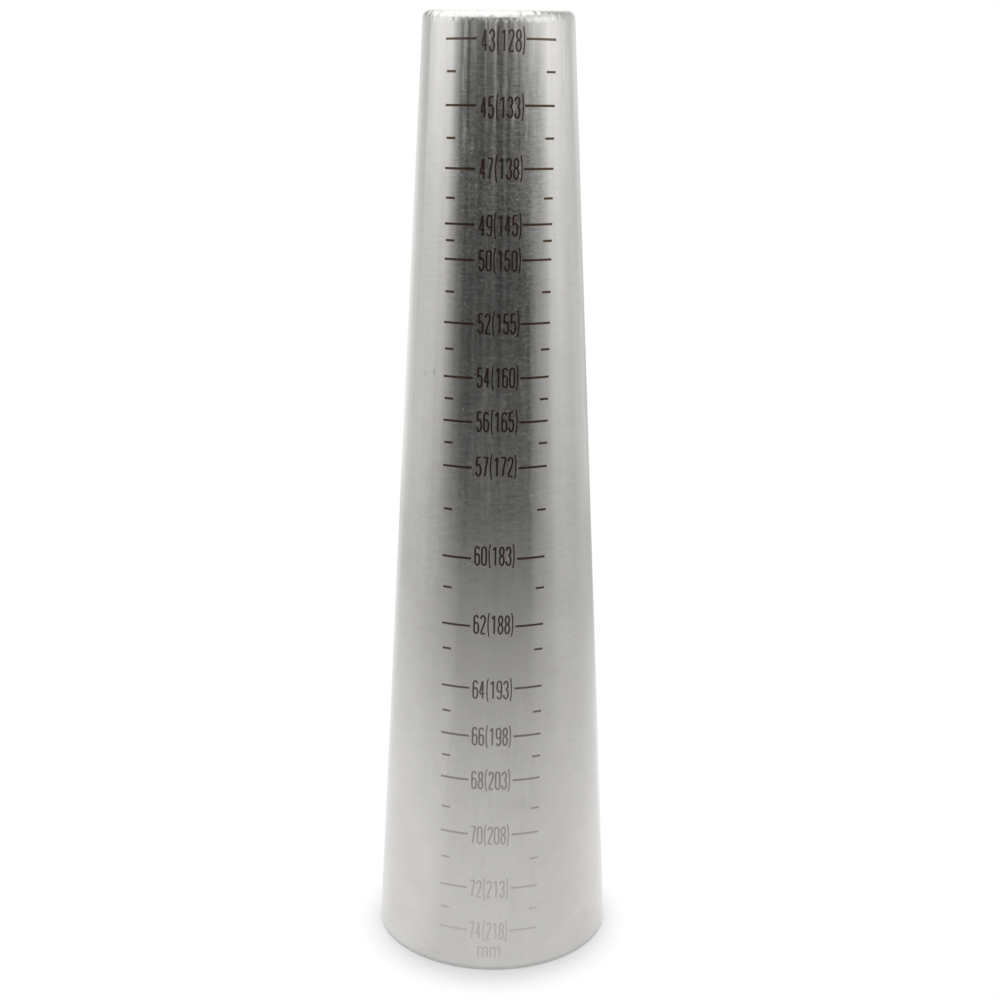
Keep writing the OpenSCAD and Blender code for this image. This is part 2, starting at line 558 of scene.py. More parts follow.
@dataclass(frozen=True)
class OvalTaper:
    """The mandrel's outside: an oval of four arcs that loses width evenly with height.

    Attributes:
        height: Level of the top face.
        seat: Level at which the top plate rests on the end of the sheet.
        foot_width: Width across the long axis at the foot.
        top_width: Width across the long axis at the top, before its corner is rounded.
        oval_diff: How much less the oval measures across its short axis.
        end_centre: Distance from the middle to the centre of each end arc.
        wall: Thickness of the sheet, measured level.
        plate_seat: How far the plate's edge rests on the end of the sheet.
    """

    height: float
    seat: float
    foot_width: float = 74.8
    top_width: float = 43.0
    oval_diff: float = 6.0
    end_centre: float = 6.0
    wall: float = 3.0
    plate_seat: float = 0.5

    LONG_WAVES = ((3, 0.020, 47.0, 0.3), (5, 0.014, -39.0, 1.9), (8, 0.008, 61.0, 4.0),
                  (19, 0.003, -83.0, 0.9), (31, 0.002, 71.0, 2.2))
    FLUTES = ((47, 0.0020, 0.7), (59, 0.0024, 2.6), (71, 0.0016, 5.1))
    FLUTE_REACH = 22.0
    INSIDE_SHARE = 0.75

    @property
    def lean(self) -> float:
        """Half-width lost for each unit of height."""
        return (self.foot_width - self.top_width) / 2 / self.height

    @property
    def broad_centre(self) -> float:
        """Distance from the middle to the centre of each broad arc, on the far side."""
        half_diff = self.oval_diff / 2
        return half_diff * (2 * self.end_centre - half_diff) / (2 * (self.end_centre - half_diff))

    @property
    def broad_shift(self) -> float:
        """What is added to a half-width to give the radius of the broad arcs."""
        return self.broad_centre - self.oval_diff / 2

    @property
    def plate_half_width(self) -> float:
        """Half-width of the top plate."""
        return self.half_width(self.seat) - self.wall + self.plate_seat

    def half_width(self, level: Array | float) -> Array | float:
        """Returns half the outside width across the long axis at a level."""
        return self.foot_width / 2 - self.lean * level

    def ring(self, facing: Array, half_width: Array, level: Array) -> Array:
        """Points of ovals, found from the direction in which they face.

        A point is the centre of its arc plus the arc's radius along (cos facing, sin facing). End arcs are
        centred on the long axis and broad arcs on the short axis, beyond the middle, so ovals of any
        half-width are offsets of each other.

        Args:
            facing: Level direction that the oval faces at the point, from +X.
            half_width: Half the oval's width across its long axis.
            level: Height of the point.

        Returns:
            The points, with X, Y and Z along the last axis.
        """
        across = np.cos(facing)
        along = np.sin(facing)
        on_end = np.abs(along) < math.sin(math.atan2(self.broad_centre, self.end_centre))
        radius = half_width + np.where(on_end, -self.end_centre, self.broad_shift)
        x = np.where(on_end, self.end_centre * np.sign(across), 0.0) + radius * across
        y = np.where(on_end, 0.0, -self.broad_centre * np.sign(along)) + radius * along
        return np.stack(np.broadcast_arrays(x, y, level), axis=-1)

    def relief(self, facing: Array, level: Array) -> Array:
        """How far rolling and grinding left the outside from a true taper.

        It is a sum of waves round the oval, in whole numbers so that they close: long ones that drift with
        height, and short flutes under the rim that die away downwards.

        Args:
            facing: Level direction that the outside faces.
            level: Height of the point.

        Returns:
            The rise of the surface at each point.
        """
        waves = [size * np.sin(count * facing + level / drift + start)
                 for count, size, drift, start in self.LONG_WAVES]
        fade = np.exp((level - self.height) / self.FLUTE_REACH)
        return sum(waves) + fade * waves_round(facing, self.FLUTES)

    def on_inside(self, depth: Array, shape: tuple[int, ...]) -> Array:
        """Returns whether points of a grid, at depths below the outside, lie on the inside of the sheet."""
        return np.broadcast_to(depth > self.INSIDE_SHARE * self.wall, shape).ravel()

    def outside(self, facing: Array, level: Array, proud: Array | float = 0.0) -> Array:
        """Returns points of the ground outside, raised by what stands proud of it."""
        return self.ring(facing, self.half_width(level) + self.relief(facing, level) + proud, level)


@dataclass(frozen=True)
class SeamGap:
    """The bevelled gap between the two edges of the rolled sheet, up the back.

    Attributes:
        root: Width of the gap at the inside.
        bevel_angle: Angle between the edges, in degrees.
    """

    root: float = 1.2
    bevel_angle: float = 60.0

    def half_width(self, above_root: Array) -> Array:
        """Returns half the gap's width at a distance out from the inside of the sheet."""
        return self.root / 2 + above_root * math.tan(math.radians(self.bevel_angle / 2))


@dataclass(frozen=True)
class RolledShell:
    """The tapered oval tube, open at the foot.

    Attributes:
        taper: The outside that it follows.
        gap: The gap of its seam.
        foot_chamfer: Chamfer that breaks both edges of the sheet at the foot.
        columns: Points round the oval.
        outside_rows: Points up the outside.
        inside_rows: Points down the inside.
    """

    taper: OvalTaper
    gap: SeamGap
    foot_chamfer: float = 0.5
    columns: int = 720
    outside_rows: int = 60
    inside_rows: int = 20

    CROWDING = 1.5
    STROKES = 0.26
    # Height of the painted shade along the foot
    FOOT_SHADE_HEIGHT = 1.5
    NICKS = (
        Nick(-18.0, 189.6, 0.28, 0.9, 0.8),
        Nick(-21.0, 188.4, 0.5, 0.5, 0.3),
        Nick(-17.5, 3.4, 2.0, 0.2, 0.2),
        Nick(19.5, 120.0, 4.0, 5.0, 0.14),
        Nick(-19.5, 124.0, 3.0, 6.0, 0.08),
        Nick(8.0, 56.0, 4.0, 2.5, 0.07),
    )

    def section(self) -> tuple[Array, Array]:
        """The closed section of the sheet, up the outside and down the inside.

        The outside's rows crowd towards the top, where the flutes are:
        level = chamfer + run (1 - (1 - s)^crowding), where s goes from 0 to 1.

        Returns:
            Depth below the outside, and level, of each point.
        """
        chamfer, wall, seat = self.foot_chamfer, self.taper.wall, self.taper.seat
        share = np.linspace(0.0, 1.0, self.outside_rows)
        outside = chamfer + (seat - chamfer) * (1.0 - (1.0 - share) ** self.CROWDING)
        inside = np.linspace(seat, chamfer, self.inside_rows)
        level = np.concatenate([[0.0], outside, inside, [0.0]])
        depths = [[chamfer], np.zeros_like(outside), np.full_like(inside, wall), [wall - chamfer]]
        depth = np.concatenate(depths)
        return depth, level

    def build(self) -> bpy.types.Object:
        """Carries the section round the oval from one side of the gap to the other.

        facing = back + gap + t (whole turn - 2 gap), where the gap is an angle that narrows inwards.

        Returns:
            The piece.
        """
        taper = self.taper
        depth, level = self.section()
        half_width = taper.half_width(level) - depth
        half_gap = self.gap.half_width(taper.wall - depth) / (half_width + taper.broad_shift)
        turn = np.linspace(0.0, 1.0, self.columns)[:, None]
        facing = BACK + half_gap + turn * (2 * math.pi - 2 * half_gap)
        relief = taper.relief(facing, level) * (1.0 - depth / taper.wall)
        points = taper.ring(facing, half_width + relief, np.broadcast_to(level, facing.shape))
        faces = tube_faces(self.columns, level.size)
        marks = {"inside": taper.on_inside(depth, facing.shape)}
        return mesh_piece("rolled_shell", points.reshape(-1, 3), faces, marks)

    def dress(self, piece: bpy.types.Object) -> None:
        """Brushes the shell round the oval, and leaves its inside as the mill rolled it."""
        steel = BrushedSteel("brushed_sheet", Grain.ROUND, strokes=self.STROKES, inside=Inside.MILL,
                             nicks=self.NICKS, painted_foot_shade=self.FOOT_SHADE_HEIGHT)
        fit(piece, steel.material(), "shell_steel", "mandrel_shell")


@dataclass(frozen=True)
class SeamWeld:
    """The weld up the back: ground flush outside, with its root bead inside.

    Attributes:
        taper: The outside that it follows.
        gap: The gap that it fills.
        foot_chamfer: Chamfer at the foot of the sheet.
        bead_height: How far the root bead stands into the hollow.
        bead_width: Width of the root bead.
        ripple: Distance from one ripple of the bead to the next.
        rows: Points up the seam.
    """

    taper: OvalTaper
    gap: SeamGap
    foot_chamfer: float = 0.5
    bead_height: float = 0.6
    bead_width: float = 4.0
    ripple: float = 1.7
    rows: int = 900

    OUTSIDE_POINTS = 13
    BEAD_POINTS = 15
    RIPPLE_SHARE = 0.14
    RIPPLE_BOW = 1.6
    RIPPLE_DRIFT = 9.0
    RUN_OUT = 4.0
    GROUND_LINE = 1.9

    def build(self) -> bpy.types.Object:
        """Carries the weld's section up the seam.

        Outside, it lies flush between the sheet's edges. Inside, the bead is a low arch, and each ripple is
        an arc across it: depth = wall + height (1 - q^2)(1 + share sin(2 pi level / ripple + bow q^2 + w)),
        where q goes from -1 to 1 across the bead and w = sin(level / drift) makes the ripples uneven. The
        bead runs out over its first millimetres.

        Returns:
            The piece.
        """
        taper = self.taper
        wall = taper.wall
        level = np.linspace(0.0, taper.seat, self.rows)[:, None]
        mouth = self.gap.half_width(wall)
        root = self.gap.root / 2
        reach = self.bead_width / 2
        q = np.linspace(-1.0, 1.0, self.BEAD_POINTS)
        out = np.linspace(mouth, -mouth, self.OUTSIDE_POINTS)
        lateral = np.concatenate([out, [-root], reach * q, [root]])
        on_bead = np.concatenate([np.zeros_like(out), [0.0], 1.0 - q * q, [0.0]])
        bow = np.concatenate([np.zeros_like(out), [0.0], q * q, [0.0]])
        depth = np.concatenate([np.zeros_like(out), np.full(self.BEAD_POINTS + 2, wall)])
        phase = 2 * math.pi * level / self.ripple + self.RIPPLE_BOW * bow + np.sin(level / self.RIPPLE_DRIFT)
        wobble = self.RIPPLE_SHARE * np.sin(phase)
        run_out = np.clip(level / self.RUN_OUT, 0.0, 1.0) ** 0.5
        chamfer = np.clip(self.foot_chamfer - level, 0.0, None) * (depth == 0.0)
        depth = depth + self.bead_height * run_out * on_bead * (1.0 + wobble) + chamfer
        half_width = taper.half_width(level) - depth
        facing = BACK + lateral / (half_width + taper.broad_shift)
        relief = taper.relief(facing, level) * np.clip(1.0 - depth / wall, 0.0, 1.0)
        points = taper.ring(facing, half_width + relief, np.broadcast_to(level, facing.shape))
        faces = tube_faces(self.rows, lateral.size)
        marks = {"inside": taper.on_inside(depth, facing.shape)}
        return mesh_piece("back_seam_weld", points.reshape(-1, 3), faces, marks, crease=40.0)

    def dress(self, piece: bpy.types.Object) -> None:
        """Carries the shell's finish across the seam, and leaves a faint line and a tinted root."""
        steel = BrushedSteel("seam_weld_steel", Grain.ROUND, strokes=RolledShell.STROKES, inside=Inside.ROOT,
                             weld_line=self.GROUND_LINE, painted_foot_shade=RolledShell.FOOT_SHADE_HEIGHT)
        fit(piece, steel.material(), "weld_steel", "seam_weld")


@dataclass(frozen=True)
class GroundRim:
    """The weld round the plate's edge, ground flush and rounded over.

    Attributes:
        taper: The outside that it follows.
        radius: Mean radius ground on the corner.
        unevenness: How much of the radius the hand that ground it left uneven.
        columns: Points round the oval.
    """

    taper: OvalTaper
    radius: float = 2.08
    unevenness: float = 0.07
    columns: int = 720

    LAND_POINTS = 3
    ROUND_POINTS = 14
    SIDE_POINTS = 14
    WAVES = ((2, 0.4, 0.0), (5, 0.3, 1.2), (11, 0.25, 3.3), (23, 0.3, 0.4), (41, 0.3, 2.2), (67, 0.25, 5.0))
    FACETS = ((37, 0.5, 0.4), (61, 0.9, 1.7), (97, 0.4, 3.9), (139, 0.15, 2.1))
    FACET_START = 0.9
    FACET_SPREAD = 0.25
    FACET_CURVE = 0.05

    def build(self) -> bpy.types.Object:
        """Carries the rim's section round the oval.

        The section goes up the outside, round the corner, in across the land and down the plate's edge. The
        corner's centre lies a radius below the top and a radius, square to the lean, inside the outside. The
        belt's facets fall away by curve x (level - start)^2, from a start that differs from facet to facet.

        Returns:
            The piece.
        """
        taper = self.taper
        facing = np.linspace(0.0, 2 * math.pi, self.columns, endpoint=False)[:, None]
        radius = self.radius * (1.0 + self.unevenness * waves_round(facing, self.WAVES))
        lean_angle = math.atan(taper.lean)
        centre_level = taper.height - radius
        centre = taper.half_width(centre_level) - radius / math.cos(lean_angle)
        angle = np.linspace(lean_angle, math.pi / 2, self.ROUND_POINTS)
        round_half = centre + radius * np.cos(angle)
        round_level = centre_level + radius * np.sin(angle)
        share = np.linspace(0.0, 1.0, self.SIDE_POINTS, endpoint=False)
        side_level = taper.seat + share * (round_level[:, :1] - taper.seat)
        land_share = np.linspace(0.0, 1.0, self.LAND_POINTS + 1)[1:]
        plate_edge = taper.plate_half_width
        land_half = round_half[:, -1:] + land_share * (plate_edge - round_half[:, -1:])
        flat = np.ones_like(land_half)
        side_half = taper.half_width(side_level)
        half_width = np.hstack([side_half, round_half, land_half, plate_edge * flat[:, :1]])
        level = np.hstack([side_level, round_level, taper.height * flat, taper.seat * flat[:, :1]])
        leaning = np.concatenate([np.ones(self.SIDE_POINTS), np.cos(angle), np.zeros(self.LAND_POINTS + 1)])
        facets = waves_round(facing, self.FACETS)
        start = taper.seat + self.FACET_START + self.FACET_SPREAD * facets
        fall = self.FACET_CURVE * np.clip(level - start, 0.0, None) ** 2
        relief = (taper.relief(facing, level) - fall) * leaning
        points = taper.ring(facing, half_width + relief, level)
        faces = grid_quads(self.columns, level.shape[1], True, True).tolist()
        return mesh_piece("ground_rim", points.reshape(-1, 3), faces)

    def dress(self, piece: bpy.types.Object) -> None:
        """Carries the shell's finish up to the rim, and leaves the grinding belt's hatch on the corner."""
        corner = self.taper.height - self.radius
        steel = BrushedSteel("ground_rim_steel", Grain.ROUND, strokes=RolledShell.STROKES, hatch_from=corner)
        fit(piece, steel.material(), "weld_steel", "cap_weld")


@dataclass(frozen=True)
class TopPlate:
    """The oval plate that closes the top.

    Attributes:
        taper: The outside that it closes.
        columns: Points round the plate.
        rings: Rings from the middle to the edge.
    """

    taper: OvalTaper
    columns: int = 240
    rings: int = 24

    CROWN = 0.02

    def build(self) -> bpy.types.Object:
        """Carries a section from the plate's edge in to the middle of each face.

        Each ring is the plate's own outline shrunk towards the middle, and the faces meet in one point there.

        Returns:
            The piece.
        """
        taper = self.taper
        facing = np.linspace(0.0, 2 * math.pi, self.columns, endpoint=False)[:, None]
        share = np.linspace(0.0, 1.0, self.rings, endpoint=False)[::-1]
        share = np.concatenate([share[:-1][::-1], [1.0], [1.0], share[:-1]])
        under = np.arange(share.size) < share.size // 2
        level = np.where(under, taper.seat, taper.height + self.CROWN * (1.0 - share**2))
        outline = taper.ring(facing, np.full_like(facing, taper.plate_half_width), np.zeros_like(facing))
        points = outline * share[None, :, None]
        points[..., 2] = level
        count = share.size
        faces = grid_quads(self.columns, count, True, False).tolist()
        middle = self.columns * count
        ring = np.arange(self.columns)
        after = (ring + 1) % self.columns
        under_fan = np.stack([after * count, ring * count, np.full_like(ring, middle)], axis=-1)
        over_fan = np.stack([ring * count, after * count, np.full_like(ring, middle + 1)], axis=-1)
        over_fan[:, :2] += count - 1
        faces += under_fan.tolist() + over_fan.tolist()
        ends = [[0.0, 0.0, taper.seat], [0.0, 0.0, taper.height + self.CROWN]]
        return mesh_piece("top_plate", np.vstack([points.reshape(-1, 3), ends]), faces)

    def dress(self, piece: bpy.types.Object) -> None:
        """Leaves the straight marks of the grinding belt on the plate."""
        steel = BrushedSteel("ground_plate_steel", Grain.LENGTHWISE, bright=(0.66, 0.656, 0.63),
                             dull=(0.34, 0.337, 0.32), roughness=0.3, stretch=0.0, depth=0.012)
        fit(piece, steel.material(), "plate_steel", "top_cap")


@dataclass(frozen=True)
class Arc:
    """Part of an ellipse in a figure's cell, with its angles in degrees."""

    x: float
    y: float
    across: float
    up: float
    start: float
    end: float

    DEGREES_APART = 12.0

    def points(self) -> Array:
        """Returns points along the arc."""
        count = int(abs(self.end - self.start) / self.DEGREES_APART) + 2
        angle = np.radians(np.linspace(self.start, self.end, count))
        return np.stack([self.x + self.across * np.cos(angle), self.y + self.up * np.sin(angle)], axis=-1)


@dataclass(frozen=True)
class Spot:
    """A corner or an end of a stroke in a figure's cell."""

    x: float
    y: float

    def points(self) -> Array:
        """Returns the one point."""
        return np.array([[self.x, self.y]])


@dataclass(frozen=True)
class Figure:
    """A figure drawn with a round of strokes in a cell that is one unit wide and one high.

    Attributes:
        strokes: Arcs and spots that each stroke runs through.
        width: Width of the cell, in millimetres.
        height: Height of the cell.
        advance: Distance to the next figure.
        inset: Distance from the pen to the cell.
        drop: How far the cell's foot lies below the line of the figures.
        weight: Width of the strokes, as a share of the pen's.
    """

    strokes: tuple[tuple[Arc | Spot, ...], ...]
    width: float = 1.28
    height: float = 5.60
    advance: float = 2.02
    inset: float = 0.35
    drop: float = 0.0
    weight: float = 1.0


def bracket(inset: float, *strokes: tuple[Arc | Spot, ...]) -> Figure:
    """Returns a figure that is narrower than a digit and reaches above and below it."""
    return Figure(strokes, width=0.38, height=7.40, advance=1.20, inset=inset, drop=0.90, weight=0.75)


FIGURES = {
    "0": Figure(((Arc(0.5, 0.83, 0.5, 0.17, 0, 180), Arc(0.5, 0.17, 0.5, 0.17, 180, 360), Spot(1, 0.83)),)),
    "1": Figure(((Spot(0.05, 0.84), Spot(0.62, 1)), (Spot(0.62, 1), Spot(0.62, 0)))),
    "2": Figure(((Arc(0.5, 0.79, 0.5, 0.21, 175, -28), Spot(0, 0.02)), (Spot(0, 0), Spot(1, 0)))),
    "3": Figure(((Arc(0.47, 0.77, 0.47, 0.23, 170, -90),), (Arc(0.47, 0.27, 0.53, 0.27, 90, -170),))),
    "4": Figure(((Spot(0.66, 0), Spot(0.66, 1)), (Spot(0.60, 1), Spot(-0.04, 0.30)),
                 (Spot(-0.06, 0.28), Spot(1.04, 0.28)))),
    "5": Figure(((Spot(0.95, 1), Spot(0.13, 1)), (Spot(0.13, 1), Spot(0.06, 0.53)),
                 (Arc(0.47, 0.31, 0.53, 0.31, 140, -165),))),
    "6": Figure(((Arc(0.5, 0.81, 0.48, 0.19, 15, 180), Arc(0.5, 0.19, 0.5, 0.19, 180, 360),
                  Arc(0.5, 0.41, 0.5, 0.19, 0, 172)),)),
    "7": Figure(((Spot(0, 1), Spot(1, 1)), (Spot(1, 0.99), Spot(0.58, 0.48), Spot(0.36, 0)))),
    "8": Figure(((Arc(0.5, 0.765, 0.45, 0.235, -90, 270),), (Arc(0.5, 0.265, 0.5, 0.265, 90, 450),))),
    "9": Figure(((Arc(0.5, 0.19, 0.48, 0.19, 195, 360), Arc(0.5, 0.81, 0.5, 0.19, 0, 180),
                  Arc(0.5, 0.59, 0.5, 0.19, 180, 352)),)),
    "(": bracket(0.45, (Arc(2.0, 0.5, 2.0, 0.577, 120, 240),)),
    ")": bracket(0.22, (Arc(-1.0, 0.5, 2.0, 0.577, 60, -60),)),
    "m": Figure(((Spot(0, 0), Spot(0, 1)), (Arc(0.25, 0.78, 0.25, 0.22, 180, 0), Spot(0.5, 0)),
                 (Arc(0.75, 0.78, 0.25, 0.22, 180, 0), Spot(1, 0))), width=2.9, height=3.4, advance=3.9),
}


@dataclass(frozen=True)
class Graduation:
    """One numbered line of the scale.

    Attributes:
        size: Bracelet's inside diameter.
        girth: Its inside circumference.
        level: Height of the line on the front.
        lift: How far the figures sit above the line's middle.
        half_lift: How far the short line above sits from half way to the next line.
    """

    size: int
    girth: int
    level: float
    lift: float = 0.0
    half_lift: float = 0.0

    @property
    def label(self) -> str:
        """Figures of the line."""
        return f"{self.size}({self.girth})"


GRADUATIONS = (
    Graduation(74, 218, 13.7, -0.1, -0.5),
    Graduation(72, 213, 28.3, -0.3, 0.3),
    Graduation(70, 208, 46.5, -0.2, -0.9),
    Graduation(68, 203, 64.6),
    Graduation(66, 198, 79.0, 0.0, -0.4),
    Graduation(64, 193, 94.5, -0.4, 2.0),
    Graduation(62, 188, 114.2, 0.6, 0.9),
    Graduation(60, 183, 135.2, 0.9, 0.7),
    Graduation(57, 172, 162.7, 0.4, 0.2),
    Graduation(56, 165, 176.2, 0.2),
    Graduation(54, 160, 189.1, 0.2, 0.2),
    Graduation(52, 155, 204.7, 0.1, -0.2),
    Graduation(50, 150, 222.7, -0.1, 0.3),
    Graduation(49, 145, 232.6, -0.2, -0.5),
    Graduation(47, 138, 247.9, 0.1, -0.3),
    Graduation(45, 133, 265.0, -0.5, 0.2),
    Graduation(43, 128, 282.7, -0.5),
)


@dataclass(frozen=True)
class SizeScale:
    """The scale burnt into the front: long lines with figures, and short lines half way between.

    Attributes:
        taper: The outside that it lies on.
        line_out: Distance from the scale's middle to the outer ends of the lines.
        left_in: Distance from the middle to the inner ends of the long lines on the left.
        right_in: The same on the right.
        short: Length of a short line.
        short_inset: How far the short lines on the left start inside the long ones.
        figures_start: Where the pen starts the figures, from the middle.
        figures_lean: How far that start wanders to the side for each unit of height.
        line_stroke: Width of the lines.
        figure_stroke: Width of the figures' strokes.
        proud: How far the burnt oxide stands above the steel.
        sunk: How deep it goes into the steel.
        lean: How far the scale's middle wanders to the side for each unit of height.
        lean_level: Height at which the scale's middle is on the mandrel's.
    """

    taper: OvalTaper
    line_out: float = 15.2
    left_in: float = 6.7
    right_in: float = 6.85
    short: float = 2.5
    short_inset: float = 0.3
    figures_start: float = -5.70
    figures_lean: float = 0.0022
    line_stroke: float = 0.65
    figure_stroke: float = 0.54
    proud: float = 0.012
    sunk: float = 0.02
    lean: float = 0.0074
    lean_level: float = 188.0

    STEP = 0.3
    LAYER = 0.001
    UNIT_LEVEL = 6.3

    def on_front(self, drawn: Array, proud: Array) -> Array:
        """Lays drawn points on the front, as a flat drawing pressed square against it.

        A point that falls away from the front by a drop, because the front is round, slips down by
        drop x lean, where drop = R - sqrt(R^2 - x^2) and R is the broad arc's radius.

        Args:
            drawn: Distance from the scale's middle and height, along the last axis.
            proud: How far each point stands above the steel.

        Returns:
            The points.
        """
        taper = self.taper
        x = drawn[..., 0] + self.lean * (drawn[..., 1] - self.lean_level)
        radius = taper.half_width(drawn[..., 1]) + taper.broad_shift
        level = drawn[..., 1] - taper.lean * (radius - np.sqrt(radius**2 - x**2))
        radius = taper.half_width(level) + taper.broad_shift
        return taper.outside(FRONT + np.arcsin(x / radius), level, proud)

    def ribbon(self, line: Array, width: float, layer: float) -> tuple[Array, Faces]:
        """Draws one stroke as a thin closed strip on the front.

        Points are added so that none lie further apart than a step, and the strip's two sides lie half a
        stroke to the left and right of the line.

        Args:
            line: Points of the stroke on the drawing.
            width: Width of the stroke.
            layer: Small extra height that keeps crossing strokes apart.

        Returns:
            The points and faces of the strip.
        """
        lengths = np.hypot(*np.diff(line, axis=0).T)
        run = np.concatenate([[0.0], np.cumsum(lengths)])
        steps = np.linspace(0.0, run[-1], int(run[-1] / self.STEP) + 2)
        path = np.stack([np.interp(steps, run, line[:, axis]) for axis in (0, 1)], axis=-1)
        heading = np.gradient(path, axis=0)
        heading /= np.linalg.norm(heading, axis=1, keepdims=True)
        left = np.stack([-heading[:, 1], heading[:, 0]], axis=-1)
        aside = width / 2 * np.array([-1.0, 0.0, 1.0, 1.0, -1.0])
        proud = np.array([1.0, 1.0, 1.0, 0.0, 0.0]) * (self.proud + layer + self.sunk) - self.sunk
        drawn = path[:, None, :] + aside[None, :, None] * left[:, None, :]
        points = self.on_front(drawn, np.broadcast_to(proud, drawn.shape[:2]))
        return points.reshape(-1, 3), tube_faces(len(path), aside.size)

    def level_line(self, level: float, start: float, end: float) -> Stroke:
        """Returns the stroke of a level line."""
        return np.array([[start, level], [end, level]]), self.line_stroke

    def figures(self, text: str, start: float, level: float) -> list[Stroke]:
        """Strokes of a row of figures.

        Args:
            text: The figures.
            start: Where the pen starts.
            level: Height of the figures' middle.

        Returns:
            The strokes.
        """
        strokes = []
        pen = start
        for name in text:
            figure = FIGURES[name]
            corner = np.array([pen + figure.inset, level - FIGURES["0"].height / 2 - figure.drop])
            size = np.array([figure.width, figure.height])
            for stroke in figure.strokes:
                line = corner + size * np.vstack([part.points() for part in stroke])
                strokes.append((line, self.figure_stroke * figure.weight))
            pen += figure.advance
        return strokes

    def piece(self, name: str, strokes: list[Stroke]) -> bpy.types.Object:
        """Joins strokes into one piece.

        Args:
            name: Name of the piece.
            strokes: Points on the drawing, and width, of each stroke.

        Returns:
            The piece.
        """
        points: list[Array] = []
        faces: Faces = []
        placed = 0
        for number, (line, width) in enumerate(strokes):
            strip_points, strip_faces = self.ribbon(line, width, self.LAYER * (number % 4))
            faces += [[corner + placed for corner in face] for face in strip_faces]
            points.append(strip_points)
            placed += len(strip_points)
        return mesh_piece(name, np.vstack(points), faces, crease=60.0)

    def build(self) -> list[bpy.types.Object]:
        """Draws every line and figure.

        Returns:
            The pieces.
        """
        long_ends = ((-self.line_out, -self.left_in), (self.right_in, self.line_out))
        short_start = self.short_inset - self.line_out
        short_ends = ((short_start, short_start + self.short), (self.line_out - self.short, self.line_out))
        pairs = zip(GRADUATIONS[:-1], GRADUATIONS[1:])
        halves = [(low.level + high.level) / 2 + low.half_lift for low, high in pairs]
        long_lines = [self.level_line(g.level, *ends) for g in GRADUATIONS for ends in long_ends]
        short_lines = [self.level_line(level, *ends) for level in halves for ends in short_ends]
        starts = [self.figures_start + self.figures_lean * (g.level - self.lean_level) for g in GRADUATIONS]
        numbers = [stroke for g, start in zip(GRADUATIONS, starts)
                   for stroke in self.figures(g.label, start, g.level + g.lift)]
        letter = FIGURES["m"]
        unit_level = self.UNIT_LEVEL + FIGURES["0"].height / 2 - letter.height / 2
        unit = self.figures("mm", -(letter.advance + letter.width) / 2, unit_level)
        return [
            self.piece("scale_long_lines", long_lines),
            self.piece("scale_short_lines", short_lines),
            self.piece("scale_numbers", numbers),
            self.piece("scale_unit", unit),
        ]

    def dress(self, pieces: list[bpy.types.Object]) -> None:
        """Gives every mark the same burnt finish."""
        material = BurntMark("burnt_mark").material()
        for piece in pieces:
            fit(piece, material, "scale_marks")


@dataclass(frozen=True)
class Strip:
    """A bright strip in the dark part of the tent: its azimuth, its half-width and its brightness."""

    azimuth: float
    half_width: float
    light: float


@dataclass(frozen=True)
class Patch:
    """A soft patch in which the tent or the floor is lighter or darker than round it.

    Attributes:
        azimuth: Direction of its middle.
        half_width: Half its width, as an angle.
        reach: Height of its middle on the tent, or distance of its middle from the object on the floor.
        half_reach: Half its size that way.
        gain: What the light gains there, as a share.
    """

    azimuth: float
    half_width: float
    reach: float
    half_reach: float
    gain: float

    def factor(self, azimuth: Value, reach: Value) -> Value:
        """Returns the number that the light is multiplied by."""
        across = azimuth.hump(self.azimuth, self.half_width)
        return 1.0 + self.gain * across * reach.hump(self.reach, self.half_reach)


